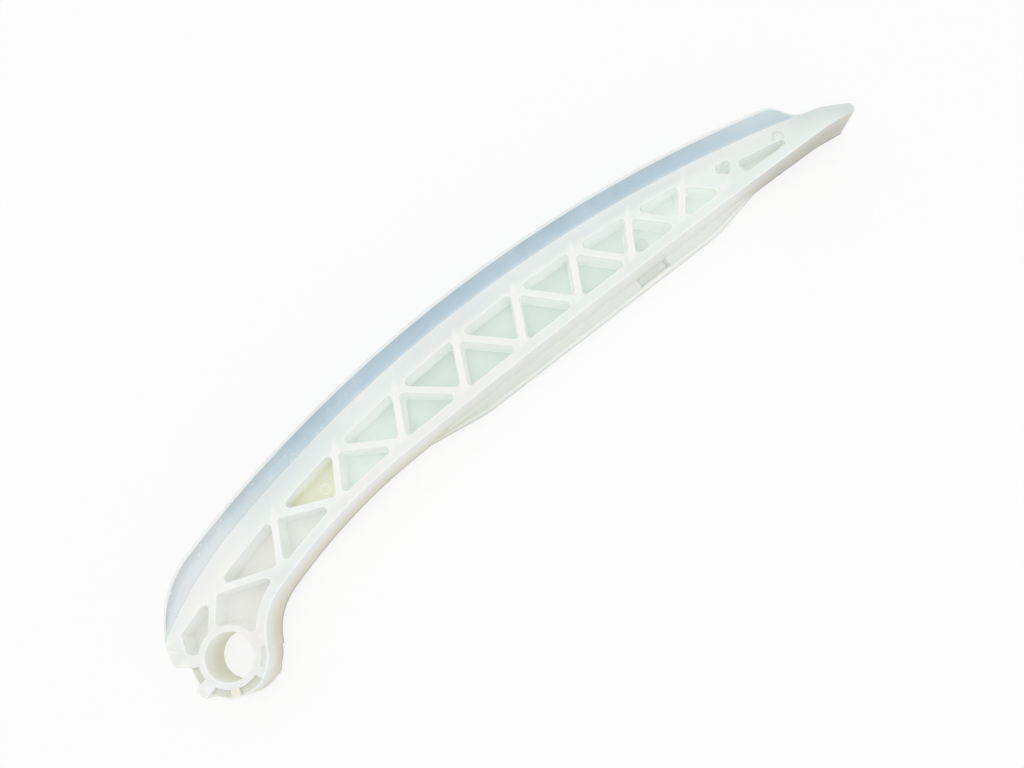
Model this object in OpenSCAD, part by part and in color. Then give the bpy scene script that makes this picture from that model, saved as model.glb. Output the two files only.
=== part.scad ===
// Timing chain guide: one moulding in unfilled nylon.
// The chain runs in the trough between two side rails, the blade swings on the pivot bore,
// and a frame of triangulated ribs stands on both sides of a thin middle web.
// The pivot axis is Z through the origin, and X points along the blade to its tongue.

/* [Blade] */
// Pivot axis to the end of the tongue
blade_length = 206.3; // [186:0.1:226]
// Width of the guide, across the chain
guide_width = 16; // [14:0.5:20]
// How far the rail crest falls from its highest point to the end of the rails
crest_fall = 18.7; // [17.8:0.1:19]
// Highest point of the crest, along the blade
crest_x = 78.7; // [77.5:0.1:80]
// Highest point of the crest, above the pivot axis
crest_y = 33.7; // [33:0.1:34.5]
// Radius of the nose, where the rails turn down round the pivot
nose_r = 24.5; // [24:0.1:25.5]
// Place of the nose's centre, along the blade
nose_x = 12.3; // [11.8:0.1:13]
// Angle round the nose at which the rails stop
heel_angle = 169; // [162:0.5:170]
// Direction from the bore in which the heel of the nose meets the boss
heel_meets = 154; // [150:1:156]

/* [Chain trough] */
// Height of the rails above the running face
rail_height = 5.3; // [4:0.1:5.8]
// Thickness of a rail
rail_wall = 1.8; // [1.2:0.1:2.8]
// How far a rail is set in from the side of the frame
rail_set_in = 0.4; // [0.1:0.05:0.8]
// Where the running face starts to fall away towards the pivot
lead_x = 20; // [15:0.5:26]
// Radius of that fall
lead_r = 100; // [80:1:140]
// Distance from the end of the rails to the end of the tongue
rail_end = 15.5; // [14.6:0.1:20]
// Length of the slope at that end of the rails
rail_end_run = 3.4; // [2.6:0.1:4.4]
// Radius at the top and at the foot of that slope
rail_end_r = 5.5; // [1.5:0.1:6.5]

/* [Back] */
// Radius of the fillet between the pivot boss and the back
heel_fillet_r = 16; // [14:0.5:18]
// Radius of the back next to the pivot
arch_r = 161.6; // [156:0.2:168]
// Highest point of that arch, along the blade
arch_x = 58.8; // [57:0.1:60]
// Highest point of that arch, above the pivot axis
arch_y = 9.3; // [8.8:0.1:9.6]
// Where the arch turns into the long flat curve
flat_x = 64; // [62:0.5:67]
// Radius of the long flat curve
flat_r = 2340; // [2000:10:2800]
// Length of the tongue's straight underside
tongue = 8.3; // [7:0.1:12]

/* [Tongue] */
// Height of the tongue's end
tongue_end = 2.4; // [2.2:0.1:3.2]
// How far the tongue's lower corner lies below the pivot axis
tongue_drop = 0.6; // [0.2:0.1:1]
// Length of the falling part of its upper side
tongue_fall = 6.3; // [5.2:0.1:8]
// Radius where it starts to fall
tongue_fall_r = 6; // [2:0.5:10]
// How far the tongue's end leans back
tongue_lean = 0.2; // [0:0.1:0.6]
// Radius of the tongue's corners
tongue_r = 0.8; // [0.4:0.1:1]

/* [Ribbed frame] */
// Thickness of the middle web
web = 1.6; // [1:0.1:3]
// Thickness of a rib
rib = 1.9; // [1.4:0.1:2.4]
// Depth of the edge strip along the back
back_strip = 2.7; // [2.2:0.1:3.2]
// Depth of the edge strip under the running face, at its thickest
run_strip = 5.1; // [4.6:0.1:5.6]
// How far the line along the tops of the pockets falls to the start of the long pocket
strip_fall = 12; // [11.6:0.1:12.4]
// Highest point of that line, along the blade
strip_x = 83.5; // [82:0.1:85]
// First rib joint on the back strip, along the blade
first_joint = 22.6; // [22:0.1:23.6]
// Distance from the last rib joint to the end of the tongue
last_joint = 37.9; // [37:0.1:40]
// How far a joint under the running face lies ahead of the one on the back strip
rib_lean = 6.9; // [6.2:0.1:7.6]
// Mean spacing of the joints, which sets their number
bay = 18.2; // [17:0.1:21]
// How much longer the first bay is than the mean, as a share
bay_ease = 0.224; // [0.2:0.002:0.24]
// Radius in the corners of the pockets
pocket_r = 1; // [0.5:0.1:1.2]
// Wall outside the pocket at the nose
nose_wall = 4.2; // [3.4:0.1:5]
// Direction from the bore in which that pocket ends
nose_pocket_angle = 136; // [130:1:142]
// Distance from the bore at which it ends
nose_pocket_reach = 14.7; // [13:0.1:15.5]
// Direction from the bore of the first rib
first_rib_angle = 85; // [80:1:90]
// Distance from the start of the long pocket to the end of the tongue
long_pocket_back = 31.9; // [30.4:0.1:32.4]
// Length of the long pocket
long_pocket = 12.6; // [9:0.1:13.5]
// Height of the long pocket at its pivot end
long_pocket_tall = 3.9; // [3:0.1:4.2]
// Height of the long pocket at its tongue end
long_pocket_low = 1.5; // [1.2:0.1:2]
// Length of the small pocket between the ribs and the long pocket
small_pocket = 6.4; // [5.6:0.1:6.8]
// Height of the small pocket
small_pocket_h = 4.2; // [3.6:0.1:4.6]
// Distance from the middle of the small pocket to the end of the tongue
small_pocket_back = 35.5; // [35.1:0.1:35.9]

/* [Pivot] */
// Diameter of the pivot bore
bore_d = 12; // [9:0.1:13]
// Radius of the boss
boss_r = 9.8; // [9.4:0.1:10.2]
// Wall of the raised ring round the bore
ring_wall = 1.7; // [1.2:0.1:2]
// How far the end of the boss lies below the ring
boss_step = 1.2; // [0.6:0.1:2]
// Width of the lug on the boss
lug_w = 3.2; // [2.4:0.1:4]
// How far the lug stands out of the boss
lug_out = 1.4; // [0.8:0.1:2]
// Direction of the lug
lug_angle = 193; // [189:1:198]
// Direction in which the lowered part of the boss's end starts
relief_start = 156; // [152:1:164]
// Direction in which it ends
relief_end = 287; // [270:1:296]
// Direction of the rib across the end of the boss
boss_rib_angle = 242; // [236:1:246]
// Width of that rib
boss_rib_w = 2.4; // [1.6:0.1:3]
// Direction of the middle of the shallow mark on the boss's end
mark_angle = 320; // [316:1:324]
// Angle that the mark takes up
mark_span = 34; // [20:1:40]
// Width of the mark
mark_w = 1.3; // [0.8:0.1:1.5]
// Depth of the mark
mark_depth = 0.3; // [0.1:0.05:0.6]
// Depth of the flat on the rear half of the boss
flat_depth = 0.8; // [0.4:0.1:1]
// Direction of that flat
flat_angle = 319; // [314:1:324]

/* [Foot] */
// Width of the foot along the back, from the rear side
foot_w = 4; // [3:0.1:6]
// Where the foot starts, along the blade
foot_start = 68; // [66:0.5:72]
// Distance from the end of the foot to the end of the tongue
foot_tail = 26.3; // [22:0.1:31]
// Length of the ramp at the pivot end
foot_ramp = 18; // [14:0.5:22]
// Length of the ramp at the tongue end
foot_runout = 17; // [13:0.5:22]
// Radius where the ramps meet the foot's face
foot_bend_r = 35; // [20:1:50]
// Level of the foot's face after the first ramp
foot_level = 5.5; // [4.8:0.1:5.8]
// Level of the foot's face before the last ramp
foot_low = 0.7; // [0.3:0.1:1.2]
// Distance from the start of the foot's cut-out to the end of the foot
foot_cut_back = 42; // [32:1:60]
// Length of that cut-out
foot_cut = 9; // [5:0.5:12]
// Lip left outside that cut-out
foot_lip = 1; // [0.6:0.1:1.3]
// Depth of that cut-out
foot_cut_depth = 2.2; // [1:0.1:2.4]

/* [Hidden] */

natural = [0.93, 0.95, 0.92];
$fn = 96;
// Places along the blade that keep their distance from the end of the tongue
rail_end_x = blade_length - rail_end;
tongue_x = blade_length - tongue;
tongue_fall_x = blade_length - tongue_fall;
long_pocket_x = blade_length - long_pocket_back;
small_pocket_x = blade_length - small_pocket_back;
foot_end = blade_length - foot_tail;
foot_cut_x = foot_end - foot_cut_back;
// Length of the ribbed frame, its number of bays, and its last bay, counted from 0
frame_run = blade_length - last_joint - first_joint;
bays = round(frame_run / bay);
last_bay = bays - 1;
// Overrun of the cutters
clear = 2;
ring_r = bore_d / 2 + ring_wall;
pocket_depth = (guide_width - web) / 2;
trough_z = rail_set_in + rail_wall;

// Radii of the arcs that fall by a given height over a given run
crest_r = fall_r(rail_end_x - crest_x, crest_fall);
strip_r = fall_r(long_pocket_x - strip_x, strip_fall);

// Centres of the tangent arcs that make up the side view
crest_c = [crest_x, crest_y - crest_r];
nose_c = [nose_x, crest_c.y + sqrt(pow(crest_r - nose_r, 2) - pow(nose_x - crest_x, 2))];
nose_turn = bearing(crest_c, nose_c);
run_r = crest_r - rail_height;
lead_turn = acos((lead_x - crest_x) / run_r);
lead_c = crest_c + (run_r - lead_r) * dir(lead_turn);
arch_c = [arch_x, arch_y - arch_r];
flat_turn = acos((flat_x - arch_x) / arch_r);
flat_c = arch_c + (arch_r - flat_r) * dir(flat_turn);
heel_c = meet([0, 0], boss_r + heel_fillet_r, arch_c, arch_r - heel_fillet_r);
heel_turn = bearing(arch_c, heel_c);
strip_c = [strip_x, crest_y - rail_height - run_strip - strip_r];

function dir(a) = [cos(a), sin(a)];
function fall_r(run, fall) = (run * run + fall * fall) / (2 * fall);
function bearing(a, b) = atan2(b.y - a.y, b.x - a.x);
function unit(v) = v / norm(v);
function arc(c, r, from, to, n) = [for (i = [0 : n]) c + r * dir(from + (to - from) * i / n)];
function at_x(c, r, x) = acos((x - c.x) / r);
function over(c, r, x) = c.y + sqrt(r * r - pow(x - c.x, 2));

// The crossing of two circles that lies to the left of the line between their centres
function meet(a, ra, b, rb) =
    let (d = norm(b - a), u = unit(b - a))
    let (along = (ra * ra - rb * rb + d * d) / (2 * d))
    a + along * u + sqrt(ra * ra - along * along) * [-u.y, u.x];

// An outline whose points carry a corner radius as their third value
function soften(p, n = 8) =
    [for (i = [0 : len(p) - 1])
        let (a = p[(i + len(p) - 1) % len(p)], b = p[(i + 1) % len(p)], r = p[i][2])
        each is_undef(r) ? [p[i]] : corner(flat(a), flat(p[i]), flat(b), r, n)];
function flat(p) = [p.x, p.y];
function corner(a, p, b, r, n) =
    let (u = unit(a - p), v = unit(b - p), half = acos(u * v) / 2)
    let (c = p + unit(u + v) * r / sin(half), from = bearing(c, p + u * r / tan(half)))
    let (turn = bearing(c, p + v * r / tan(half)) - from)
    arc(c, r, from, from + (turn > 180 ? turn - 360 : turn < -180 ? turn + 360 : turn), n);

// The back of the guide from x to the boss, moved into the guide by a depth
function back_path(depth, x) = concat(
    arc(flat_c, flat_r + depth, at_x(flat_c, flat_r + depth, x), flat_turn, 40),
    arc(arch_c, arch_r + depth, flat_turn, heel_turn, 16),
    arc(heel_c, heel_fillet_r + depth, heel_turn, bearing(heel_c, [0, 0]), 16));
function back_y(depth, x) = x > flat_x ? over(flat_c, flat_r + depth, x) : over(arch_c, arch_r + depth, x);

// The running face from x to beyond the nose
function run_path(x) = concat(
    arc(crest_c, run_r, at_x(crest_c, run_r, x), lead_turn, 60),
    arc(lead_c, lead_r, lead_turn, at_x(lead_c, lead_r, nose_c.x - nose_r - clear), 16));

// Joints of the ribs: the spacing shrinks along the blade with its height
function station(i) = first_joint + frame_run * i / bays * (1 + bay_ease * (1 - i / bays));
function run_knot(i) = let (x = station(i) + rib_lean) [x, over(strip_c, strip_r, x)];
function back_knot(i) =
    let (x = station(i))
    i < 0 ? ring_r * dir(first_rib_angle) : [x, back_y(back_strip, x)];

// Side view with the rails
module side_view() {
    rail_foot_x = rail_end_x + rail_end_run;
    heel = boss_r * dir(heel_meets);
    polygon(soften(concat(
        [[0, 0], heel],
        arc(nose_c, nose_r, heel_angle, nose_turn, 24),
        arc(crest_c, crest_r, nose_turn, at_x(crest_c, crest_r, rail_end_x - rail_end_run), 60),
        [[rail_end_x, over(crest_c, crest_r, rail_end_x), rail_end_r]],
        [[rail_foot_x, over(crest_c, run_r, rail_foot_x), rail_end_r]],
        [[tongue_fall_x, over(crest_c, run_r, tongue_fall_x), tongue_fall_r]],
        [[blade_length, tongue_end - tongue_drop, tongue_r]],
        [[blade_length - tongue_lean, -tongue_drop, tongue_r]],
        back_path(0, tongue_x))));
}

// Everything beyond the running face
module above_run() {
    end_x = rail_end_x + rail_end_run + rail_end_r;
    polygon(concat(
        run_path(end_x),
        [[nose_c.x - nose_r - clear, crest_y + clear], [end_x, crest_y + clear]]));
}

module rib_bar(a, b) {
    u = unit(b - a);
    s = [-u.y, u.x] * rib / 2;
    polygon([a - u * rib + s, b + u * rib + s, b + u * rib - s, a - u * rib - s]);
}

// The pockets between the edge strips, the ribs and the ring round the bore
module pockets() {
    end_x = run_knot(last_bay).x;
    offset(r = pocket_r, $fn = 32) offset(delta = -pocket_r) difference() {
        intersection() {
            polygon(concat(
                [nose_pocket_reach * dir(nose_pocket_angle)],
                arc(strip_c, strip_r, at_x(strip_c, strip_r, -10), at_x(strip_c, strip_r, end_x), 60),
                back_path(back_strip, back_knot(last_bay + 1).x),
                [[0, 0]]));
            union() {
                translate(nose_c) circle(r = nose_r - nose_wall);
                translate([nose_c.x, -boss_r]) square([blade_length, crest_y + boss_r]);
            }
        }
        circle(r = ring_r);
        for (i = [-1 : last_bay]) {
            rib_bar(back_knot(i), run_knot(i));
            rib_bar(run_knot(i), back_knot(i + 1));
        }
    }
    small_pocket_outline();
    long_pocket_outline();
}

module small_pocket_outline() {
    r = pocket_r;
    x = [for (s = [-0.5, 0, 0.5]) small_pocket_x + s * small_pocket];
    y = [for (p = x) over(strip_c, strip_r, p)];
    polygon(soften([[x[0], y[0], r], [x[2], y[2], r], [x[1], y[1] - small_pocket_h, r]]));
}

module long_pocket_outline() {
    x = [long_pocket_x, long_pocket_x + long_pocket];
    y = [for (p = x) back_y(back_strip, p)];
    r = [pocket_r, min(pocket_r, long_pocket_low * 0.4)];
    polygon(soften([
        [x[0], y[0], r[0]],
        [x[1], y[1], r[1]],
        [x[1], y[1] + long_pocket_low, r[1]],
        [x[0], y[0] + long_pocket_tall, r[0]]]));
}

module wedge(from, to, r) {
    polygon(concat([[0, 0]], arc([0, 0], r, from, to, 24)));
}

// The lowered parts of the boss's end, between the heel, the lug and the rib across it
module boss_relief() {
    difference() {
        wedge(relief_start, relief_end, boss_r + lug_out + clear);
        circle(r = ring_r);
        rotate(lug_angle) translate([0, -lug_w / 2]) square([boss_r * 2, lug_w]);
        rotate(boss_rib_angle) translate([0, -boss_rib_w / 2]) square([boss_r * 2, boss_rib_w]);
    }
}

// A shallow mark in the boss's end, half way between the ring and the boss's edge
module boss_mark() {
    r = (ring_r + boss_r + mark_w) / 2;
    difference() {
        wedge(mark_angle - mark_span / 2, mark_angle + mark_span / 2, r);
        circle(r = r - mark_w);
    }
}

module lug() {
    rotate(lug_angle) translate([0, -lug_w / 2]) square([boss_r + lug_out, lug_w]);
}

// The foot along the rear edge of the back, with a cut-out and its lip
module foot() {
    a = [foot_start + foot_ramp, foot_level];
    b = [foot_end - foot_runout, foot_low];
    cut = [for (x = [foot_cut_x, foot_cut_x + foot_cut])
        [x, a.y + (b.y - a.y) * (x - a.x) / (b.x - a.x) + foot_lip]];
    difference() {
        linear_extrude(foot_w) polygon(soften(concat(
            [[foot_start, back_y(0.3, foot_start)], [a.x, a.y, foot_bend_r], [b.x, b.y, foot_bend_r]],
            [for (i = [0 : 12]) let (x = foot_end + (foot_start - foot_end) * i / 12)
                [x, back_y(i == 0 || i == 12 ? 0.6 : back_strip / 2, x)]])));
        translate([0, 0, foot_w - foot_cut_depth]) linear_extrude(foot_w) polygon([
            cut[0], cut[1],
            [cut[1].x, back_y(back_strip, cut[1].x)],
            [cut[0].x, back_y(back_strip, cut[0].x)]]);
    }
}

// A cutter that reaches a depth into the rear side
module sink(depth) {
    translate([0, 0, -clear]) linear_extrude(clear + depth) children();
}

// Both sides of the guide alike
module on_both_sides() {
    children();
    translate([0, 0, guide_width]) mirror([0, 0, 1]) children();
}

module chain_guide() {
    color(natural) difference() {
        union() {
            linear_extrude(guide_width) side_view();
            cylinder(r = boss_r, h = guide_width);
            linear_extrude(guide_width) lug();
            foot();
        }
        translate([0, 0, trough_z]) linear_extrude(guide_width - 2 * trough_z) above_run();
        on_both_sides() {
            sink(rail_set_in) above_run();
            sink(pocket_depth) pockets();
            sink(boss_step) boss_relief();
            sink(mark_depth) boss_mark();
        }
        translate([0, 0, -clear]) cylinder(d = bore_d, h = guide_width + 2 * clear);
        rotate(flat_angle) translate([boss_r - flat_depth, -boss_r, -clear])
            cube([boss_r, 2 * boss_r, guide_width / 2 + clear]);
    }
}

chain_guide();
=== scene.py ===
"""Timing chain guide: one nylon moulding, its finish and its studio, laid out as an add-on."""

from types import SimpleNamespace

import bmesh
import bpy
import numpy as np
from mathutils import Matrix


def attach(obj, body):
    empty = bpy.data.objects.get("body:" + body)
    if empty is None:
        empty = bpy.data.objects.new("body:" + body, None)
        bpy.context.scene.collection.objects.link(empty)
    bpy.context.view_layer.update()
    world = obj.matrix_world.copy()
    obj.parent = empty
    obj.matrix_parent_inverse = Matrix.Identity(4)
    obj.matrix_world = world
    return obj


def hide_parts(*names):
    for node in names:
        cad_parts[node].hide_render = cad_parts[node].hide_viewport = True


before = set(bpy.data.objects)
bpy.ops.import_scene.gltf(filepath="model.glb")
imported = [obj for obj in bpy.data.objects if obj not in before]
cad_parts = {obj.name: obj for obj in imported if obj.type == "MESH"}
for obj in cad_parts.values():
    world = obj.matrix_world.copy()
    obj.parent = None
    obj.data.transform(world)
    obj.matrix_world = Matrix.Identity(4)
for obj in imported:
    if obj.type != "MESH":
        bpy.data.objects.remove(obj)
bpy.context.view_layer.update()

bl_info = {
    "name": "Timing Chain Guide",
    "version": (1, 0, 0),
    "blender": (4, 5, 0),
    "location": "View3D > Sidebar > Chain Guide",
    "description": "Builds a moulded timing chain guide with its finish and a plain studio",
    "category": "Object",
}

MM = 0.001


# Words for the single letters at the end of a key
LETTERS = dict(r="radius", x="along", y="height", w="width", h="height", d="diameter")


def named(group):
    """Turns the settings in a group into properties, each with a name made from its key."""
    for key, settings in group.__annotations__.items():
        name = " ".join(LETTERS.get(word, word) for word in key.split("_")).capitalize()
        kind = bpy.props.FloatVectorProperty if "size" in settings else bpy.props.FloatProperty
        group.__annotations__[key] = kind(name=name, **settings)
    return group


def number(value, description, **more):
    """Settings of a number."""
    return dict(default=value, description=description, **more)


def length(millimetres, description):
    """Settings of a length, written in millimetres and kept in metres."""
    return number(millimetres * MM, description, subtype="DISTANCE", unit="LENGTH", precision=5)


def angle(degrees, description):
    """Settings of an angle, written in degrees and kept in radians."""
    return number(np.radians(degrees), description, subtype="ANGLE", unit="ROTATION")


def share(value, description):
    """Settings of a plain number between 0 and 1."""
    return number(value, description, min=0, max=1)


def tint(rgb, description):
    """Settings of a colour, written in 8-bit display values and kept as linear light."""
    v = np.asarray(rgb) / 255
    linear = np.where(v <= 0.04045, v / 12.92, ((v + 0.055) / 1.055) ** 2.4)
    return number(tuple(linear), description, size=3, subtype="COLOR", min=0, max=1)


@named
class GuideSizes(bpy.types.PropertyGroup):
    blade_length: length(206.3, "Pivot axis to the end of the tongue")
    guide_width: length(16, "Width of the guide, across the chain")
    crest_fall: length(18.7, "How far the rail crest falls to the end of the rails")
    crest_x: length(78.7, "Highest point of the crest, along the blade")
    crest_y: length(33.7, "Highest point of the crest, above the pivot axis")
    nose_r: length(24.5, "Radius of the nose round the pivot")
    nose_x: length(12.3, "Place of the nose's centre, along the blade")
    heel_angle: angle(169, "Angle round the nose at which the rails stop")
    heel_meets_angle: angle(154, "Direction in which the heel meets the boss")
    rail_height: length(5.3, "Height of the rails above the running face")
    rail_wall: length(1.8, "Thickness of a rail")
    lead_x: length(20, "Where the running face starts to fall towards the pivot")
    lead_r: length(100, "Radius of that fall")
    rail_end_x: length(190.8, "Where the rails stop towards the tongue")
    rail_end_run: length(3.4, "Length of the slope at that end")
    rail_end_r: length(5.5, "Radius at the top and foot of that slope")
    heel_fillet_r: length(16, "Radius between the pivot boss and the back")
    arch_r: length(161.6, "Radius of the back next to the pivot")
    arch_x: length(58.8, "Highest point of that arch, along the blade")
    arch_y: length(9.3, "Highest point of that arch, above the pivot axis")
    flat_x: length(64, "Where the arch turns into the long flat curve")
    flat_r: length(2340, "Radius of the long flat curve")
    tongue_x: length(198, "Where the back turns into the underside of the tongue")
    tongue_end: length(2.4, "Height of the tongue's end")
    tongue_drop: length(0.6, "How far its lower corner lies below the pivot axis")
    tongue_fall_x: length(200, "Where the upper side of the tongue starts to fall")
    tongue_fall_r: length(6, "Radius where it starts to fall")
    tongue_lean: length(0.2, "How far the tongue's end leans back")
    tongue_r: length(0.8, "Radius of the tongue's corners")
    web: length(1.6, "Thickness of the middle web")
    rib: length(1.9, "Thickness of a rib")
    back_strip: length(2.7, "Depth of the edge strip along the back")
    run_strip: length(5.1, "Depth of the edge strip under the running face")
    strip_fall: length(12, "How far the line along the pockets' tops falls to the long pocket")
    strip_x: length(83.5, "Highest point of that line, along the blade")
    first_joint: length(22.6, "First rib joint on the back strip")
    last_joint: length(37.9, "Distance from the last rib joint to the end of the tongue")
    rib_lean: length(6.9, "How far a joint under the running face lies ahead of the one on the back strip")
    bay: length(18.2, "Mean spacing of the joints, which sets their number")
    bay_ease_share: share(0.224, "How much longer the first bay is than the mean, as a share of it")
    pocket_r: length(1, "Radius in the corners of the pockets")
    nose_wall: length(4.2, "Wall outside the pocket at the nose")
    nose_pocket_angle: angle(136, "Direction in which that pocket ends")
    first_rib_angle: angle(85, "Direction from the bore of the first rib")
    long_pocket_x: length(174.4, "Where the long pocket by the tongue starts")
    long_pocket: length(12.6, "Length of the long pocket")
    long_pocket_tall: length(3.9, "Height at its pivot end")
    long_pocket_low: length(1.5, "Height at its tongue end")
    small_pocket: length(8.2, "Length of the small pocket, between its corners before they are rounded")
    small_pocket_h: length(4.2, "Height of the small pocket")
    small_pocket_x: length(170.8, "Middle of the small pocket")
    small_pocket_r: length(1.4, "Radius in the corners of the small pocket")
    bore_d: length(12, "Diameter of the pivot bore")
    boss_r: length(9.8, "Radius of the boss")
    ring_wall: length(1.7, "Wall of the raised ring round the bore")
    boss_step: length(1.2, "How far the end of the boss lies below the ring")
    lug_w: length(3.2, "Width of the lug on the boss")
    lug_out: length(1.4, "How far the lug stands out of the boss")
    lug_angle: angle(193, "Direction of the lug")
    relief_start_angle: angle(156, "Direction in which the lowered boss end starts")
    relief_end_angle: angle(287, "Direction in which it ends")
    boss_rib_angle: angle(242, "Direction of the rib across the end of the boss")
    boss_rib_w: length(2.4, "Width of that rib")
    mark_angle: angle(320, "Middle of the shallow mark on the boss's end")
    mark_span_angle: angle(34, "Angle that the mark takes up")
    mark_w: length(1.1, "Width of the mark")
    mark_depth: length(0.3, "Depth of the mark")
    flat_depth: length(0.8, "Depth of the flat on the rear half of the boss")
    flat_angle: angle(319, "Direction of that flat")
    foot_w: length(4, "Width of the foot along the back")
    foot_start: length(68, "Where the foot starts")
    foot_end: length(180, "Where the foot ends")
    foot_ramp: length(18, "Length of the ramp at the pivot end")
    foot_runout: length(17, "Length of the ramp at the tongue end")
    foot_bend_r: length(35, "Radius where the ramps meet the foot's face")
    foot_level: length(5.5, "Level of the foot's face after the first ramp")
    foot_low: length(0.7, "Level of the foot's face before the last ramp")
    foot_cut_x: length(138, "Where the cut-out in the foot starts")
    foot_cut: length(9, "Length of that cut-out")
    foot_lip: length(1, "Lip left outside that cut-out")
    foot_cut_depth: length(2.2, "Depth of that cut-out")
    edge_r: length(0.4, "Rounding of the outer edges, and set-in of the rails")
    crest_edge_r: length(0.6, "Rounding of the rail crest")
    root_r: length(0.6, "Fillet between a rail and the running face")
    mouth_r: length(0.42, "Rounding of the edges of the ribs")
    floor_r: length(0.55, "Fillet round a pocket's floor")
    draft: length(0.15, "How far a pocket's walls lean in down to its floor")
    end_mouth_r: length(0.25, "Rounding at the mouths and floors of the two end pockets")
    end_draft: length(0.08, "Draft of the two end pockets")
    mark_mouth_r: length(0.08, "Rounding of the mark's mouth")
    mark_floor_r: length(0.1, "Fillet round the mark's floor")
    mark_draft: length(0.02, "Draft of the mark")
    mark_r: length(0.25, "Corners of the mark")
    mark_rim: length(0.45, "Rim of the boss that the mark's place leaves out")
    lug_r: length(0.5, "Corners of the lug")
    lug_root_r: length(0.28, "Fillet between the lug and the boss")
    heel_r: length(0.6, "Corner of the heel")
    heel_root_r: length(0.25, "Fillet where the heel meets the boss")
    step_r: length(0.25, "Rounding at the top and foot of the boss's step")
    foot_root_r: length(0.5, "Fillet between the back and the foot's shelf")
    foot_edge_r: length(0.4, "Rounding of the foot's outer edge")
    foot_lip_r: length(0.15, "Softness of the cut-out's lip")
    foot_cut_soft: length(0.2, "Half the length of the step at either end of the cut-out")


@named
class GuideFinish(bpy.types.PropertyGroup):
    face: tint((232, 239, 235), "Flat sides of the frame")
    # Painted highlight: a near-white laid over rounded edges, the crest line, fillets and rib tops; the light marks of
    # the mould share it.
    edge: tint((250, 252, 249), "Light edges and ribs")
    # Painted light: the pocket walls are made lighter than the faces and glow a little by emission, for light through
    # the thin ribs; the same tint also lays the random clouds.
    wall: tint((251, 254, 252), "Walls of the pockets")
    # Painted shade: the pocket floors are made darker than the faces, where light passes through the thin web.
    web: tint((224, 231, 228), "Floors of the pockets, over the thin web")
    # Painted shade: the thin rails are made darker and bluish, where light passes through them.
    rail: tint((171, 197, 212), "Thin rails beside the chain")
    # Warm tint: painted warm shade, growing down the back, the boss and the bore and on the lowered boss end, besides
    # the nylon's own yellowing on the lug and heel and the gate mark.
    back: tint((236, 231, 208), "Back, wall of the bore and lowered end of the boss")
    # Amber: the nylon's own yellowing in one pocket, and painted warm shade down the bore.
    amber: tint((239, 238, 218), "Places where the nylon has yellowed")
    blush: tint((240, 237, 234), "Large warm clouds in the milky white")
    # Painted shade, warmer in hue, on the pocket floors by the pivot and on the walls near the ring there.
    warm_web: tint((226, 219, 214), "Floors of the pockets by the pivot")
    # Painted shade: in the lee of the tongue, down the back and the boss, on the lowered boss end and its flat, in the
    # end pockets and the boss mark, and as dark lines along the crest and the rear edges; the dull marks of the mould
    # share it.
    shade: tint((166, 164, 154), "Dull places in the lee of the tongue, the nose and the boss")
    roughness: share(0.42, "Gloss of the moulded skin")
    milk: share(0.7, "Share of the light that travels inside the nylon")
    scatter: length(0.8, "Distance that light travels in the nylon")
    # Painted glow: strength of the light that the pocket walls give off by emission.
    seep: share(0.04, "Light that seeps through the thin ribs into the pockets")


@named
class StudioSettings(bpy.types.PropertyGroup):
    lens: number(40.32, "Focal length on a sensor 36 mm wide", min=10)
    key_light: number(0.7, "Power of the large lamp", min=0, unit="POWER")
    fill_light: number(0.45, "Power of the second lamp", min=0, unit="POWER")
    sky: number(0.76, "Strength of the even light from all round", min=0)


# Where the finish changes along the blade, in millimetres from the pivot: start and end of each soft change
RANGES = dict(
    rail_edge=(25, 90), rail_in=(-5, 75), rail_deep=(90, 120), rail_out=(160, 190), back_in=(55, 90),
    back_light=(85, 120), truss_in=(18, 26), truss_out=(168, 171), cool_in=(60, 95), cool_out=(155, 180), glow=(8, 45),
    web_in=(40, 75), web_out=(120, 170), bleed=(30, 75), warm_wall=(44, 64), specks=(40, 80), blush=(5, 40),
    warm_web=(24, 44))

# Small marks of the mould: what each does, the face it lies on, its place along and across in millimetres, the radius
# and line of its ring, and its weight
MARKS = (
    ("light", "floor", 42.5, 17.0, 1.25, 0.35, 1.0), ("light", "speckled", 8.6, 8.3, 0.0, 1.6, 1.0),
    ("light", "side", 8.8, -1.2, 0.0, 0.7, 1.0), ("light", "side", 11.2, -1.0, 0.0, 0.5, 1.0),
    ("light", "side", 167.5, 7.2, 0.4, 0.5, 0.6), ("dull", "floor", 143.9, 10.8, 0.0, 1.9, 0.12),
    ("dull", "floor", 143.9, 10.8, 1.4, 0.4, 0.15), ("dull", "side", 186.5, 7.3, 1.35, 0.45, 0.2),
    ("gate", "side", -4.0, -7.6, 0.0, 1.5, 1.0))

# Stations along the belt: numbers of points, degrees between those on the boss, and extra ones round each step
NOSE_POINTS, LEAD_POINTS, RUN_POINTS, BACK_POINTS, ARCH_POINTS, FILLET_POINTS, BORE_POINTS = 9, 42, 86, 96, 30, 18, 96
BOSS_TURN = 2.4
STEP_TURNS = np.array([-0.7, 0, 0.7, 1.4])
CUT_STATIONS = np.array([-0.5, -0.2, 0.2, 0.5])

# Studio, in metres: lamps with their setting, size and place, the point they aim at, the floor, and the camera
LAMPS = (("key_lamp", "key_light", 0.5, (0.04, 0.16, 0.62)), ("fill_lamp", "fill_light", 0.6, (0.16, -0.36, 0.5)))
LAMP_AIM = np.array([0.095, 0.012, 0.008])
FLOOR_HALF, FLOOR_DROP = 3.0, 0.00005
CAMERA_RIGHT, CAMERA_UP = (0.75029, -0.65854, -0.05832), (0.65750, 0.73408, 0.16982)
CAMERA_BACK, CAMERA_PLACE = (-0.06902, -0.16576, 0.98375), (0.07516, -0.04226, 0.29420)


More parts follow.
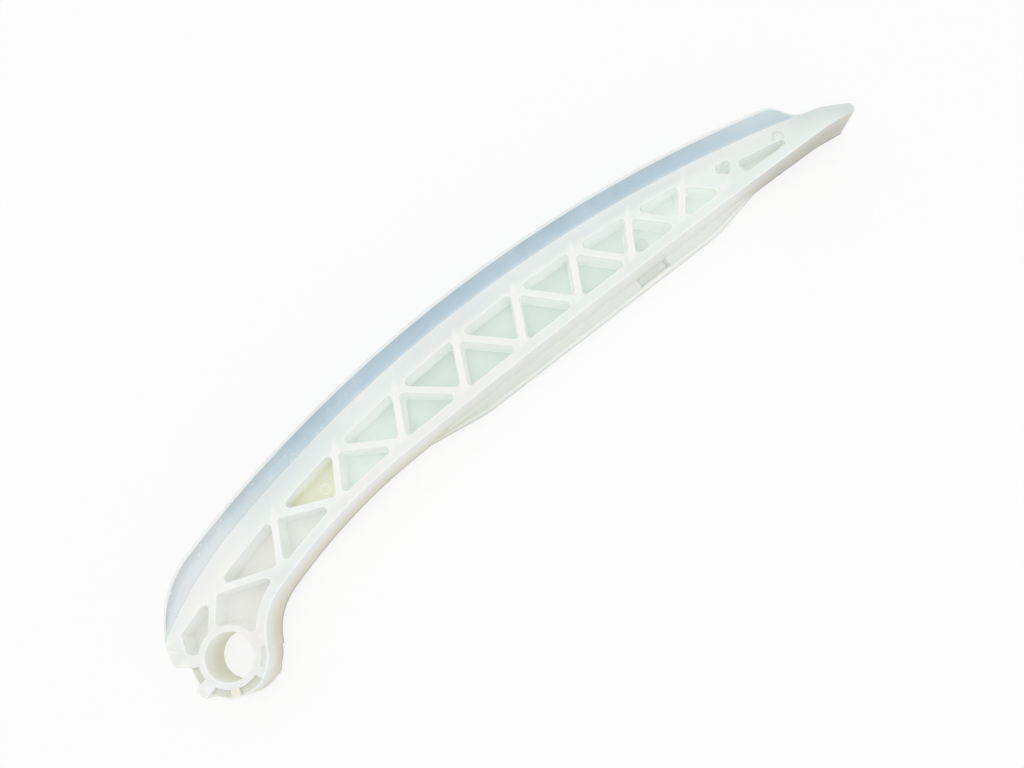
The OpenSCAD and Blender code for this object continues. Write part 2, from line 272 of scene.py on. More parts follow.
def sizes():
    """The sizes as plain numbers: lengths in millimetres, angles in degrees, shares as they are."""
    group = bpy.context.scene.guide_sizes
    scale = dict(angle=np.degrees(1), share=1)
    return SimpleNamespace(**{
        key: getattr(group, key) * scale.get(key.split("_")[-1], 1 / MM) for key in GuideSizes.__annotations__})


# Plane geometry, in millimetres and degrees


def ray(a):
    """Unit vectors in the directions a."""
    a = np.radians(a)
    return np.stack([np.cos(a), np.sin(a)], -1)


ORIGIN = np.zeros(2)


def unit(v):
    return v / np.linalg.norm(v, axis=-1, keepdims=True)


def bearing(a, b):
    d = np.subtract(b, a)
    return np.degrees(np.arctan2(d[..., 1], d[..., 0]))


def left(v):
    """Vectors turned by a quarter to the left."""
    return np.stack([-v[..., 1], v[..., 0]], -1)


def over(c, r, x):
    """Points of the upper half of a circle at the places x."""
    x = np.asarray(x, float)
    return np.stack([x, c[1] + np.sqrt(r * r - (x - c[0]) ** 2)], -1)


def arc(c, r, start, stop, n):
    """n points on a circle, at even angles from start to stop."""
    return np.asarray(c) + r * ray(np.linspace(start, stop, n))


def fall_r(run, fall):
    """Radius of an arc that falls by a height over a run, from its highest point."""
    return (run * run + fall * fall) / (2 * fall)


def two_circles(a, ra, b, rb):
    """The crossing of two circles that lies to the left of the line between their centres."""
    d = np.linalg.norm(np.subtract(b, a))
    u = unit(np.subtract(b, a))
    along = (ra * ra - rb * rb + d * d) / (2 * d)
    return a + along * u + np.sqrt(ra * ra - along * along) * left(u)


def reach(p, n, c, r, side=1):
    """How far from the points p, along n, the circle is met: on the way out, or with side -1 on the way in."""
    b = np.sum((p - c) * n, -1)
    return side * np.sqrt(np.maximum(b * b - np.sum((p - c) ** 2, -1) + r * r, 0)) - b


def two_lines(p, u, q, v):
    """Crossing of the line through p along u with the line through q along v."""
    d = q - p
    t = (d[..., 0] * v[..., 1] - d[..., 1] * v[..., 0]) / (u[..., 0] * v[..., 1] - u[..., 1] * v[..., 0])
    return p + t[..., None] * u


def rounded(points, steps=8):
    """A closed outline of rows x, y, r: each corner with r above 0 becomes the arc of that radius that touches both
    its sides. Returns the points and, for each of them, the row it came from."""
    rows = np.asarray(points, float)
    p, r = rows[:, :2], rows[:, 2]
    turned = r > 0
    u = unit(np.roll(p, 1, 0) - p)
    v = unit(np.roll(p, -1, 0) - p)
    half = np.where(turned, np.arccos(np.clip(np.sum(u * v, -1), -1, 1)) / 2, 1)
    middle = np.where(turned[:, None], u + v, u)
    c = p + unit(middle) * (r / np.sin(half))[:, None]
    start = bearing(c, p + u * (r / np.tan(half))[:, None])
    stop = bearing(c, p + v * (r / np.tan(half))[:, None])
    sweep = (stop - start + 180) % 360 - 180
    t = np.linspace(0, 1, steps + 1)
    grid = c[:, None] + r[:, None, None] * ray(start[:, None] + sweep[:, None] * t)
    keep = turned[:, None] | (t == 0)
    owner = np.broadcast_to(np.arange(len(p))[:, None], keep.shape)
    return grid[keep], owner[keep]


def plain(points):
    """Rows without a corner radius."""
    return np.c_[points, np.zeros(len(points))]


def outward(loop):
    """Normals to the left of a closed outline, halving the angle between its two sides at each point."""
    t = unit(np.roll(loop, -1, 0) - loop)
    return left(unit(t + np.roll(t, 1, 0)))


def plan(s):
    """Centres and turning angles of the tangent arcs that make up the side view."""
    p = SimpleNamespace()
    s.crest_r = fall_r(s.rail_end_x - s.crest_x, s.crest_fall)
    s.strip_r = fall_r(s.long_pocket_x - s.strip_x, s.strip_fall)
    p.crest_c = np.array([s.crest_x, s.crest_y - s.crest_r])
    p.nose_c = np.array([s.nose_x, p.crest_c[1] + np.sqrt((s.crest_r - s.nose_r) ** 2 - (s.nose_x - s.crest_x) ** 2)])
    p.nose_turn = bearing(p.crest_c, p.nose_c)
    p.run_r = s.crest_r - s.rail_height
    p.lead_turn = np.degrees(np.arccos((s.lead_x - s.crest_x) / p.run_r))
    p.lead_c = p.crest_c + (p.run_r - s.lead_r) * ray(p.lead_turn)
    p.arch_c = np.array([s.arch_x, s.arch_y - s.arch_r])
    p.flat_turn = np.degrees(np.arccos((s.flat_x - s.arch_x) / s.arch_r))
    p.flat_c = p.arch_c + (s.arch_r - s.flat_r) * ray(p.flat_turn)
    p.heel_c = two_circles(ORIGIN, s.boss_r + s.heel_fillet_r, p.arch_c, s.arch_r - s.heel_fillet_r)
    p.heel_turn = bearing(p.arch_c, p.heel_c)
    p.boss_turn = bearing(ORIGIN, p.heel_c) % 360
    p.strip_c = np.array([s.strip_x, s.crest_y - s.rail_height - s.run_strip - s.strip_r])
    p.ring_r = s.bore_d / 2 + s.ring_wall
    p.mouth = two_circles(p.lead_c, s.lead_r, p.nose_c, s.nose_r)
    return p


def back_line(s, p, depth, x):
    """Points of the back at the places x, moved into the guide by a depth: the flat curve or the arch."""
    flat, arch = over(p.flat_c, s.flat_r + depth, x), over(p.arch_c, s.arch_r + depth, np.minimum(x, s.flat_x + 9))
    return np.where((np.asarray(x) > s.flat_x)[..., None], flat, arch)


# The belt: everything between the two sides, as one profile carried round the side view


def belt_path(s, p):
    """Round the side view, clockwise: boss, lug, heel, nose, running face, tongue and back.
    Returns points and zones: 0 boss, 1 running face, 2 back, 3 lug, heel and nose."""
    wide = np.degrees(np.arcsin(s.lug_w / 2 / s.boss_r))
    rib = np.degrees(np.arcsin(s.boss_rib_w / 2 / s.boss_r))
    steps = np.array([s.boss_rib_angle + rib, s.boss_rib_angle - rib, s.relief_end_angle])
    fine = (steps[:, None] + STEP_TURNS).ravel()
    boss = np.arange(p.boss_turn - 2, s.lug_angle + wide + 2, -BOSS_TURN)
    boss = np.sort(np.r_[boss, fine])[::-1]
    u = ray(s.lug_angle)
    reach_in, reach_out, half = np.sqrt(s.boss_r ** 2 - s.lug_w ** 2 / 4), s.boss_r + s.lug_out, s.lug_w / 2
    lug = np.array([u * reach_in + left(u) * half, u * reach_out + left(u) * half,
                    u * reach_out - left(u) * half, u * reach_in - left(u) * half])
    short = np.arange(s.lug_angle - wide - 2, s.relief_start_angle + 2, -BOSS_TURN)
    short = np.r_[short, s.relief_start_angle + [1.4, 0.5]]
    heel = p.nose_c + s.nose_r * ray(s.heel_angle)
    nose = arc(p.nose_c, s.nose_r, s.heel_angle - 3, bearing(p.nose_c, p.mouth), NOSE_POINTS)[:-1]
    lead = arc(p.lead_c, s.lead_r, bearing(p.lead_c, p.mouth), p.lead_turn, LEAD_POINTS)
    end = s.rail_end_x + s.rail_end_run
    x = np.r_[np.linspace(s.lead_x, s.rail_end_x - 5, RUN_POINTS)[1:],
              np.arange(s.rail_end_x - 4.8, end + 3.1, 0.22), s.tongue_fall_x - 2]
    run = over(p.crest_c, p.run_r, x)
    tongue = np.r_[over(p.crest_c, p.run_r, [s.tongue_fall_x]),
                   [[s.blade_length, s.tongue_end - s.tongue_drop], [s.blade_length - s.tongue_lean, -s.tongue_drop]]]
    cut = np.r_[s.foot_cut_x, s.foot_cut_x + s.foot_cut]
    bx = np.r_[np.linspace(s.tongue_x, s.flat_x, BACK_POINTS), (cut[:, None] + CUT_STATIONS).ravel()]
    back = back_line(s, p, 0, np.sort(bx)[::-1])
    arch = arc(p.arch_c, s.arch_r, p.flat_turn, p.heel_turn, ARCH_POINTS)[1:]
    fillet = arc(p.heel_c, s.heel_fillet_r, p.heel_turn, bearing(p.heel_c, ORIGIN), FILLET_POINTS)[1:]
    parts = [
        (plain(s.boss_r * ray(boss)), 0), (np.c_[lug, [s.lug_root_r, s.lug_r, s.lug_r, s.lug_root_r]], 3),
        (plain(s.boss_r * ray(short)), 0),
        (np.array([[*(s.boss_r * ray(s.heel_meets_angle)), s.heel_root_r], [*heel, s.heel_r]]), 3), (plain(nose), 3),
        (plain(lead), 1), (plain(run), 1), (np.c_[tongue[:2], [s.tongue_fall_r, s.tongue_r]], 1),
        (np.c_[tongue[2:], [s.tongue_r]], 2), (plain(back), 2), (plain(arch), 2), (plain(fillet), 2)]
    rows = np.concatenate([rows for rows, _ in parts])
    zone = np.concatenate([np.full(len(rows), z) for rows, z in parts])
    points, owner = rounded(rows)
    return points, zone[owner]


def spread(count, *parts):
    """Columns side by side, each part stretched over all stations."""
    return np.concatenate([np.broadcast_to(np.asarray(q, float), (count, np.shape(q)[-1])) for q in parts], 1)


QUARTER = np.linspace(0, np.pi / 2, 5)
SIN, COS = np.sin(QUARTER), np.cos(QUARTER)
HALF = 28


def ramp(x, low, high):
    """Smooth step from 0 at low to 1 at high."""
    t = np.clip((x - low) / (high - low), 0, 1)
    return t * t * (3 - 2 * t)


def mirrored(half):
    """A profile from side to side: one half, its last column once more, and the half turned round."""
    return np.c_[half, half[:, -1], half[:, ::-1]]


def rail_profile(s, p, points, normals):
    """Half a trough, from the side of the frame to the middle: edge rounding, outer face of the rail, round crest,
    inner face, root fillet, running face. Height is the way from the running face to the crest or the nose. Returns
    offset, depth, painted highlight, the painted bluish shade of the thin rail, and painted shade."""
    crest = reach(points, normals, p.crest_c, s.crest_r)
    nose = reach(points, normals, p.nose_c, s.nose_r)
    tangent_x = p.nose_c[0] + s.nose_r * np.cos(np.radians(p.nose_turn))
    h = np.where((points + normals * crest[:, None])[:, 0] < tangent_x, nose, crest)
    foot = s.rail_end_x + s.rail_end_run
    slope, _ = rounded([
        [*over(p.crest_c, p.run_r, foot + 30), 0], [*over(p.crest_c, p.run_r, s.rail_end_x - 30), 0],
        [*over(p.crest_c, s.crest_r, s.rail_end_x - s.rail_end_run), 0],
        [*over(p.crest_c, s.crest_r, s.rail_end_x), s.rail_end_r],
        [*over(p.crest_c, p.run_r, foot), s.rail_end_r], [*over(p.crest_c, p.run_r, foot + 3), 0]])
    slope = slope[2:]
    base_x = p.crest_c[0] + p.run_r * unit(slope - p.crest_c)[:, 0]
    high = np.linalg.norm(slope - p.crest_c, axis=1) - p.run_r
    h = np.where(points[:, 0] > s.rail_end_x - s.rail_end_run, np.interp(points[:, 0], base_x, high), h)
    h = np.where(points[:, 0] > foot + 2.9, 0, np.maximum(h, 0))[:, None]
    e, t = s.edge_r, s.rail_wall
    rc, ri = np.minimum(s.crest_edge_r, 0.45 * h), np.minimum(s.root_r, 0.45 * h)
    root = e + t + ri
    up = np.array([0.05, 0.2, 0.45, 0.7, 0.92, 1])
    o = spread(len(h), e * (SIN - 1), (h - rc) * up, h - rc + rc * SIN[1:], h - rc + rc * COS, (h - rc + ri) / 2,
               ri - ri * SIN, [0, 0])
    d = spread(len(h), e * (1 - COS), np.full(6, e), e + rc - rc * COS[1:], e + t - rc + rc * SIN, [e + t],
               root - ri * COS, root + (s.guide_width / 2 - root) * [0.35, 0.7])
    # Painted highlight on the outer edge rounding and along the crest.
    edge = np.r_[0, .6, 1, 1, .6, .3, 0, 0, 0, 0, .6, .6, .2, .1, 0, .3, 1, 1, .6, .2, 0, np.zeros(7)]
    x = points[:, :1]
    tall = ramp(h, 0.1, 2.5)
    outer = (0.1 + 0.9 * ramp(x, *RANGES["rail_edge"])) * (1 - ramp(x, foot - 4, s.tongue_x))
    edge = edge * np.where(np.arange(HALF) < 6, outer, tall)
    # Painted bluish shade of the thin rail: it grows from the root towards the crest and along the blade, and fades
    # towards the tongue.
    along, tail = ramp(x, *RANGES["rail_in"]), ramp(x, *RANGES["rail_out"])
    low = 0.24 + 0.54 * along + 0.06 * ramp(x, *RANGES["rail_deep"]) - 0.14 * tail
    high = 0.58 + 0.38 * along - 0.5 * tail
    face = low + (high - low) * ramp(up, 0.3 * (1 - along), 0.9 - 0.2 * along)
    inner = 0.4 * along * (1 - ramp(x, 150, foot)) * np.ones(17)
    rail = np.c_[np.zeros((len(h), 4)), 0.2 * face[:, :1], face * [1, 1, 1, 1, 1, .4], 0.2 * face[:, -1:], inner[:, 1:]]
    # Painted shade: grey near the top of the rail towards the nose, and a dark line along the crest.
    grey = ramp(up, 0.5, 0.95) * (0.5 - 0.3 * along) * (1 - tail) * [1, 1, 1, 1, 1, 0]
    crest = np.r_[0, 0, .5, .6, .4, np.zeros(12)] * np.ones_like(h)
    shade = np.c_[np.zeros((len(h), 5)), grey, crest]
    return o, d, edge, rail * tall, shade * tall


def boss_profile(s, p, turn, boss):
    """Half a boss, from its side to the middle: ring edge, step, lowered end, outer edge, wall. The step is there only
    on the boss, at the angles between heel, lug and rib. Returns offset, depth, painted highlight and a mask of the
    lowered end, which gets painted shade."""
    rib = np.degrees(np.arcsin(s.boss_rib_w / 2 / s.boss_r))
    on = boss * (1 - ramp(turn, s.relief_end_angle, s.relief_end_angle + 0.8))
    on = (on * ramp(np.abs(turn - s.boss_rib_angle), rib - 0.1, rib + 0.7))[:, None]
    e, small = s.edge_r, s.step_r * on
    w, depth = e + (s.boss_r - p.ring_r - e) * on, s.boss_step * on
    o = spread(len(on), -w - small * (1 - SIN[::2]), -w + small * (1 - COS[::2]), -w + (w - e) * [0.5, 1],
               e * (SIN[1:] - 1), np.zeros(HALF - 12))
    top = depth + e
    d = spread(len(on), small * (1 - COS[::2]), depth - small * (1 - SIN[::2]), depth * [1, 1],
               depth + e * (1 - COS[1:]), top + (s.guide_width / 2 - top) * np.linspace(0, 1, HALF - 11)[1:])
    # Painted highlight on the ring's edge and on the outer edge.
    edge = np.r_[0, 1, .4, 0, 0, 0, 0, 0, .6, 1, .7, .3, np.zeros(HALF - 12)]
    # Mask of the lowered end, for its painted warm and grey shade.
    lowered = np.r_[0, 0, .3, .6, 1, 1, 1, 1, .6, .2, .2, .2, np.zeros(HALF - 12)] * on
    return o, d, edge, lowered


def foot_profile(s, p, points):
    """The back from the near side to the rear side: edge rounding, wall, fillet, shelf of the foot, lip, face of the
    foot, edge rounding. The foot's reach is the back less the line of its ramps and face, and a cut-out lowers the
    shelf. Returns offset, height, painted highlight, and masks of the foot, of the cut-out's shelf and of its lip."""
    x = points[:, 0]
    a, b = s.foot_start + s.foot_ramp, s.foot_end - s.foot_runout
    line, _ = rounded([
        [s.foot_start, back_line(s, p, 0.3, s.foot_start)[1], 0],
        [a, s.foot_level, s.foot_bend_r], [b, s.foot_low, s.foot_bend_r],
        [s.foot_end, back_line(s, p, 0.6, s.foot_end)[1], 0], [(a + b) / 2, s.crest_y, 0]], 16)
    line = line[:-1]
    d = np.interp(x, line[:, 0], line[:, 1])
    inside = (x > s.foot_start) & (x < s.foot_end)
    d = np.where(inside, np.maximum(points[:, 1] - d, 0), 0)[:, None]
    from_start, soft = x - s.foot_cut_x, s.foot_cut_soft
    cut = (ramp(from_start, -soft, soft) * (1 - ramp(from_start - s.foot_cut, -soft, soft)))[:, None]
    e, top, width = s.edge_r, s.foot_w, s.guide_width
    rf, ro = np.minimum(s.foot_root_r, 0.4 * d), np.minimum(s.foot_edge_r, 0.4 * d)
    shelf = top - s.foot_cut_depth * cut
    lip = np.maximum(d - s.foot_lip, 0.5 * d)
    soft = np.minimum(s.foot_lip_r, 0.1 * d)
    wall = 2 * HALF - 24
    o = spread(len(d), e * (SIN - 1), np.zeros(wall), rf - rf * COS[1:], rf + (lip - rf) * [0.5, 1],
               lip + soft * [0, 1], d - ro, d - ro + ro * SIN[1:], d * [1, 1, 1], d - e + e * COS[1:])
    z = spread(len(d), width - e * (1 - COS), shelf + rf + (width - e - shelf - rf) * np.linspace(1, 0, wall + 1)[1:],
               shelf + rf - rf * SIN[1:], shelf * [1, 1], top - soft * [1, 0], [top], top - ro + ro * COS[1:],
               e + (top - ro - e) * [0.66, 0.33, 0], e - e * SIN[1:])
    # Painted highlight along the near edge, the fillet at the foot's shelf and the cut-out's lip.
    top_edge = np.r_[0, .6, 1, 1, .4, np.zeros(wall + 20)] * (1 - ramp(x, s.foot_end, s.tongue_x)[:, None])
    root_edge = np.r_[np.zeros(wall + 5), .8, 1, 1, .8, np.zeros(16)] * (0.8 + 0.2 * cut)
    lip_edge = np.r_[np.zeros(wall + 9), 0, 0, .5, .5, .6, 1, 1, .6, .2, 0, 0, .2, .5, .6, .3, 0] * (0.15 + 0.45 * cut)
    foot = np.r_[np.zeros(wall + 5), .3, .5, .8, 1, np.ones(16)]
    on = ramp(d, 0.2, 1.5)
    edge = top_edge + (root_edge + lip_edge) * on
    recess = np.r_[np.zeros(wall + 5), .5, .8, 1, 1, 1, 1, .6, np.zeros(13)] * cut * on
    rim = np.r_[np.zeros(wall + 11), .6, np.ones(13)] * cut * on
    return o, z, edge, foot * on, recess, rim


def belt(s, p):
    """Grid of the belt, stations by profile: point plus normal times offset, at the profile's height. With it come the
    values that the finish reads. Boss, lug, heel, nose and running face have two equal halves, apart from the flat on
    the boss. Painted warm and grey shade grows with the way down from the near side, beside the nylon's yellowing on
    the lug and heel, and by the tongue the back gets more painted shade and warmth."""
    points, zone = belt_path(s, p)
    normals = outward(points)
    count, width = len(points), s.guide_width
    o, z, edge, rail, warm, shade = np.zeros((6, count, 2 * HALF + 1))

    def lay(on, half, deep, *values):
        o[on] = mirrored(half)
        z[on] = np.c_[width - deep, np.full(on.sum(), width / 2), deep[:, ::-1]]
        for field, value in zip((edge, rail, warm, shade), values):
            field[on] = mirrored(np.broadcast_to(value, half.shape))

    on, far = zone % 3 == 0, slice(HALF + 1, None)
    turn = bearing(ORIGIN, points[on]) % 360
    half, deep, light, lowered = boss_profile(s, p, turn, zone[on] == 0)
    chord = np.cos(np.radians(np.clip(turn - s.flat_angle, -60, 60)))
    cut = np.where(zone[on] == 0, np.maximum(s.boss_r - (s.boss_r - s.flat_depth) / chord, 0), 0)[:, None]
    # The lowered boss end gets painted warm and grey shade.
    lay(on, half, deep, light, 0.0, 0.5 * lowered, 0.22 * lowered)
    o[on, far] -= cut
    # Painted shade on the flat of the boss, towards the rear side.
    shade[on, far] += 0.3 * (cut > 0) * ramp(width / 2 - deep[:, ::-1], width / 2 - 3, width / 2 - 1)
    on = zone == 1
    half, deep, light, band, grey = rail_profile(s, p, points[on], normals[on])
    lay(on, half, deep, light, band, 0.0, grey)
    down = width - z
    # Boss, lug, heel and nose: painted warm shade downwards, which on the lug and heel is also the nylon's yellowing, a
    # painted highlight near the near side, painted shade downwards and a dark painted line at the rear edge.
    low = (zone % 3 == 0)[:, None] * (1 - 0.7 * ramp(points[:, 1:], -2, 8))
    rear = ramp(down, width - 2.2, width - 1)
    warm = np.maximum(warm, low * ramp(down, 0.5, 11))
    edge = np.maximum(edge, low * (o > -0.1) * 0.3 * (1 - ramp(down, 2, 7)) * ramp(down, 0.4, 0.8))
    shade = np.maximum(shade, low * (0.34 * ramp(down, 3, 16) + 0.3 * rear))
    on = zone == 2
    o[on], z[on], edge[on], foot, cut, rim = foot_profile(s, p, points[on])
    x, down = points[on, :1], width - z[on]
    middle, bright = ramp(x, *RANGES["back_in"]), ramp(x, *RANGES["back_light"])
    end = ramp(x, s.foot_end - 18, s.foot_end + 4)
    # Back: painted warm shade downwards, less along the middle of the blade and more by the tongue; the cut-out's lip
    # is warm too.
    back = ramp(down, 0.5, 11) * (1 - 0.2 * foot) * (1 - 0.75 * middle * (1 - end))
    warm[on] = np.maximum(np.maximum(back, 0.7 * rim), 0.5 * end * (1 - foot) * ramp(down, 0.1, 1.5))
    # Painted light on the back: near the near side, along the middle of the blade and on the cut-out.
    light = 0.3 * (1 - ramp(down, 2, 7)) * (1 - middle) + bright * (0.5 - 0.05 * foot) + 0.5 * cut
    edge[on] += light * (1 - end) * ramp(down, 0.4, 0.8)
    # Painted shade on the back: darker downwards by the pivot, a dark line along the rear edge, and darker by the
    # tongue.
    shade[on] = ramp(down, 3, 16) * 0.34 * (1 - middle) + 0.6 * ramp(down, width - 2.2, width - 1) * (1 - cut)
    shade[on] += end * (1 - foot) * (0.46 * ramp(down, 0.1, 0.5) + 0.2 * ramp(down, 1, 9))
    xy = points[:, None] + normals[:, None] * o[..., None]
    return np.concatenate([xy, z[..., None]], -1), dict(edge=edge, rail=rail, warm=warm, shade=shade)


# Pockets and bore


def truss(s, p):
    """Joints of the ribs on the back strip and under the running face. With t the joint's share of the frame's length,
    it lies at t times 1 + ease times 1 - t, so that the bays shrink along the blade."""
    run = s.blade_length - s.last_joint - s.first_joint
    bays = round(run / s.bay)
    t = np.arange(-1, bays + 1) / bays
    x = s.first_joint + run * t * (1 + s.bay_ease_share * (1 - t))
    low = back_line(s, p, s.back_strip, x)
    low[0] = p.ring_r * ray(s.first_rib_angle)
    return low, over(p.strip_c, s.strip_r, x + s.rib_lean)


def on_curve(curve, p, u, steps=8):
    """Where lines through p along u cross a curve given as a function of x, by Newton's method."""
    t = np.zeros(len(p))
    for _ in range(steps):
        q = p + t[:, None] * u
        slope = (curve(q[:, 0] + 0.01) - curve(q[:, 0] - 0.01))[:, 1] / 0.02
        t = t - (q - curve(q[:, 0]))[:, 1] / (u[:, 1] - slope * u[:, 0])
    return p + t[:, None] * u


def bays(s, a, tip, b, curve):
    """Outlines between the rib from a to tip, the rib from tip to b, and a strip's curve: sides lie half a rib from the
    ribs' middle lines. Returns one closed outline for each bay."""
    ua, ub = unit(tip - a), unit(b - tip)
    side = np.sign(ua[:, 0] * ub[:, 1] - ua[:, 1] * ub[:, 0])[:, None] * s.rib / 2
    pa, pb = tip + left(ua) * side, tip + left(ub) * side
    apex = two_lines(pa, ua, pb, ub)
    foot_a, foot_b = on_curve(curve, a + left(ua) * side, ua), on_curve(curve, b + left(ub) * side, ub)
    t = np.array([0.22, 0.36, 0.5, 0.64, 0.78])
    base = curve(foot_b[:, :1] + (foot_a[:, :1] - foot_b[:, :1]) * t)
    down = apex[:, None] + (foot_b - apex)[:, None] * np.array([0.36, 0.64])[:, None]
    up = foot_a[:, None] + (apex - foot_a)[:, None] * np.array([0.36, 0.64])[:, None]
    rows = np.concatenate([apex[:, None], down, foot_b[:, None], base, foot_a[:, None], up], 1)
    r = np.zeros(rows.shape[1])
    r[[0, 3, 9]] = s.pocket_r
    return [rounded(np.c_[row, r])[0] for row in rows]


def ring_pocket(s, p, low, high):
    """Outline above the bore: first rib, ring, the strip along the heel fillet and the arch, second rib. A circle of
    the corner radius that touches both the ring and the heel strip closes the narrow end."""
    ua, ub = unit(high[0] - low[0]), unit(low[1] - high[0])
    pa, pb = high[0] - left(ua) * s.rib / 2, high[0] - left(ub) * s.rib / 2
    apex = two_lines(pa, ua, pb, ub)
    far = on_curve(lambda x: over(p.arch_c, s.arch_r + s.back_strip, x), low[1:2] - left(ub) * s.rib / 2, ub[None])[0]
    heel_r, r = s.heel_fillet_r + s.back_strip, s.pocket_r
    k = two_circles(ORIGIN, p.ring_r + r, p.heel_c, heel_r + r)
    entry = pa - ua * reach(pa, -ua, ORIGIN, p.ring_r, -1)
    ring = arc(ORIGIN, p.ring_r, bearing(ORIGIN, k), bearing(ORIGIN, entry) - 12, 8)
    start, stop = bearing(k, p.heel_c), bearing(k, ORIGIN)
    close = arc(k, r, start, stop - (360 if stop > start else 0), 9)
    heel = arc(p.heel_c, heel_r, p.heel_turn, bearing(p.heel_c, k), 12)[1:]
    rows = np.r_[[[*apex, r], [*far, r]], plain(heel), plain(close[1:-1]), plain(ring), [[*entry, r]]]
    return rounded(rows)[0]


def nose_pocket(s, p, low, high):
    """Outline between the ring, a radial line, the wall of the nose, the strip under the running face and the first
    rib."""
    u = unit(high[0] - low[0])
    side = high[0] + left(u) * s.rib / 2
    inner = s.nose_r - s.nose_wall
    line = ray(s.nose_pocket_angle)
    outer = line * reach(ORIGIN, line, p.nose_c, inner)
    top = two_circles(p.strip_c, s.strip_r, p.nose_c, inner)
    right = on_curve(lambda x: over(p.strip_c, s.strip_r, x), side[None], u[None])[0]
    entry = side - u * reach(side, -u, ORIGIN, p.ring_r, -1)
    gap = bearing(ORIGIN, entry)
    ring = arc(ORIGIN, p.ring_r, s.nose_pocket_angle - 12, gap + 9, 5)
    r = s.pocket_r
    rows = np.r_[[[*(p.ring_r * line), r], [*outer, r], [*top, r], [*right, r], [*entry, r]], plain(ring[::-1])]
    return rounded(rows)[0]


def end_pockets(s, p):
    """Outlines of the small three-cornered pocket and the long wedge by the tongue."""
    x = s.small_pocket_x + s.small_pocket * np.array([-0.5, 0, 0.5])
    y = over(p.strip_c, s.strip_r, x)[:, 1]
    small = np.c_[x[[0, 2, 1]], y[[0, 2, 1]] - [0, 0, s.small_pocket_h], np.full(3, s.small_pocket_r)]
    near, far = back_line(s, p, s.back_strip, s.long_pocket_x + np.array([0, s.long_pocket]))
    r = 0.4 * s.long_pocket_low
    wedge = [[*near, s.pocket_r], [*far, r], [far[0], far[1] + s.long_pocket_low, r],
             [near[0], near[1] + s.long_pocket_tall, s.pocket_r]]
    return [rounded(small)[0], rounded(wedge)[0]]


def boss_mark(s, p):
    """Outline of the shallow mark on the boss's end: a short piece of a ring."""
    r = (p.ring_r + s.boss_r - s.mark_rim) / 2
    a = s.mark_angle + s.mark_span_angle / 2 * np.array([-1, 1])
    outer, inner = arc(ORIGIN, r + s.mark_w / 2, a[0], a[1], 9), arc(ORIGIN, r - s.mark_w / 2, a[1], a[0], 9)
    rows = np.r_[plain(outer), plain(inner)]
    rows[[0, 8, 9, 17], 2] = s.mark_r
    return rounded(rows, 4)[0]


def sunk(loop, depth, mouth, fillet, draft):
    """Grid of a pocket, outline by profile: rounded mouth, wall that leans in, floor fillet. Returns points as x, y and
    depth, the painted highlight on the mouth, and the profile's share of the depth."""
    area = np.sum(loop[:, 0] * np.roll(loop[:, 1], -1) - loop[:, 1] * np.roll(loop[:, 0], -1))
    loop = loop if area < 0 else loop[::-1]
    q = np.r_[mouth * (1 - SIN), -draft * np.array([0.4, 0.8, 1]), -draft - fillet * (1 - COS[1:])]
    d = np.r_[mouth * (1 - COS), mouth + (depth - fillet - mouth) * np.array([0.35, 0.7, 1]),
              depth - fillet + fillet * SIN[1:]]
    xy = loop[:, None] + outward(loop)[:, None] * q[:, None]
    z = np.broadcast_to(d[:, None], (len(loop), len(d), 1))
    # Painted highlight on the rounded mouth.
    edge = np.r_[0, .7, 1, .8, .2, np.zeros(7)]
    return np.concatenate([xy, z], -1), edge, d / depth


def quads(rows, columns, first, flip):
    """Faces of a grid that is closed along its rows."""
    i, j = np.meshgrid(np.arange(rows), np.arange(columns - 1), indexing="ij")
    a, b = i * columns + j, (i + 1) % rows * columns + j
    face = np.stack([a, b, b + 1, a + 1], -1).reshape(-1, 4) + first
    return face[:, ::-1] if flip else face


class Surface:
    """Gathers grids of points with their faces and the values that the finish reads."""

    # Values per point: painted highlight, painted bluish shade of the rails, warmth (painted warm shade, and yellowing
    # on the lug and heel), painted shade, share of a pocket's depth, and amber (yellowing in one pocket, painted warm
    # shade in the bore).
    names = ("edge", "rail", "warm", "shade", "deep", "amber")

    def __init__(self):
        self.points, self.faces, self.values = [], [], []
        self.count = 0

    def add(self, grid, flip=False, **values):
        rows, columns = grid.shape[:2]
        self.faces.append(quads(rows, columns, self.count, flip))
        self.points.append(grid.reshape(-1, 3))
        self.values.append(np.stack(
            [np.broadcast_to(values.get(n, 0.0), (rows, columns)).ravel() for n in self.names], -1))
        self.count += rows * columns

    def mesh(self, name):
        """A mesh of all grids, in metres, with one number per point for each value."""
        points, faces = np.concatenate(self.points) * MM, np.concatenate(self.faces)
        mesh = bpy.data.meshes.new(name)
        mesh.from_pydata(points, [], faces)
        for n, column in zip(self.names, np.concatenate(self.values).T):
            mesh.attributes.new(n, "FLOAT", "POINT").data.foreach_set("value", column.astype(np.float32))
        return mesh


# In metres: how near a point lies to a plane that it belongs to, and the lengths below which points and edges merge
IN_PLANE, SAME_POINT, NO_EDGE = 2e-6, 3e-6, 1e-6
# How far up or down the normal of a level face points
LEVEL = 0.99999


def close_planes(bm, levels):
    """Fills the flat faces: at each level the open edges that lie in it are closed, and loops inside loops stay
    holes."""
    for level, up in levels:
        open_edges = [e for e in bm.edges
                      if e.is_boundary and all(abs(v.co.z - level * MM) < IN_PLANE for v in e.verts)]
        bmesh.ops.triangle_fill(bm, use_beauty=True, edges=open_edges, normal=(0, 0, up))


def column(items, name, width=1, kind=float):
    """One property of all items of a mesh, as rows."""
    values = np.zeros(len(items) * width, kind)
    items.foreach_get(name, values)
    return values.reshape(-1, width)


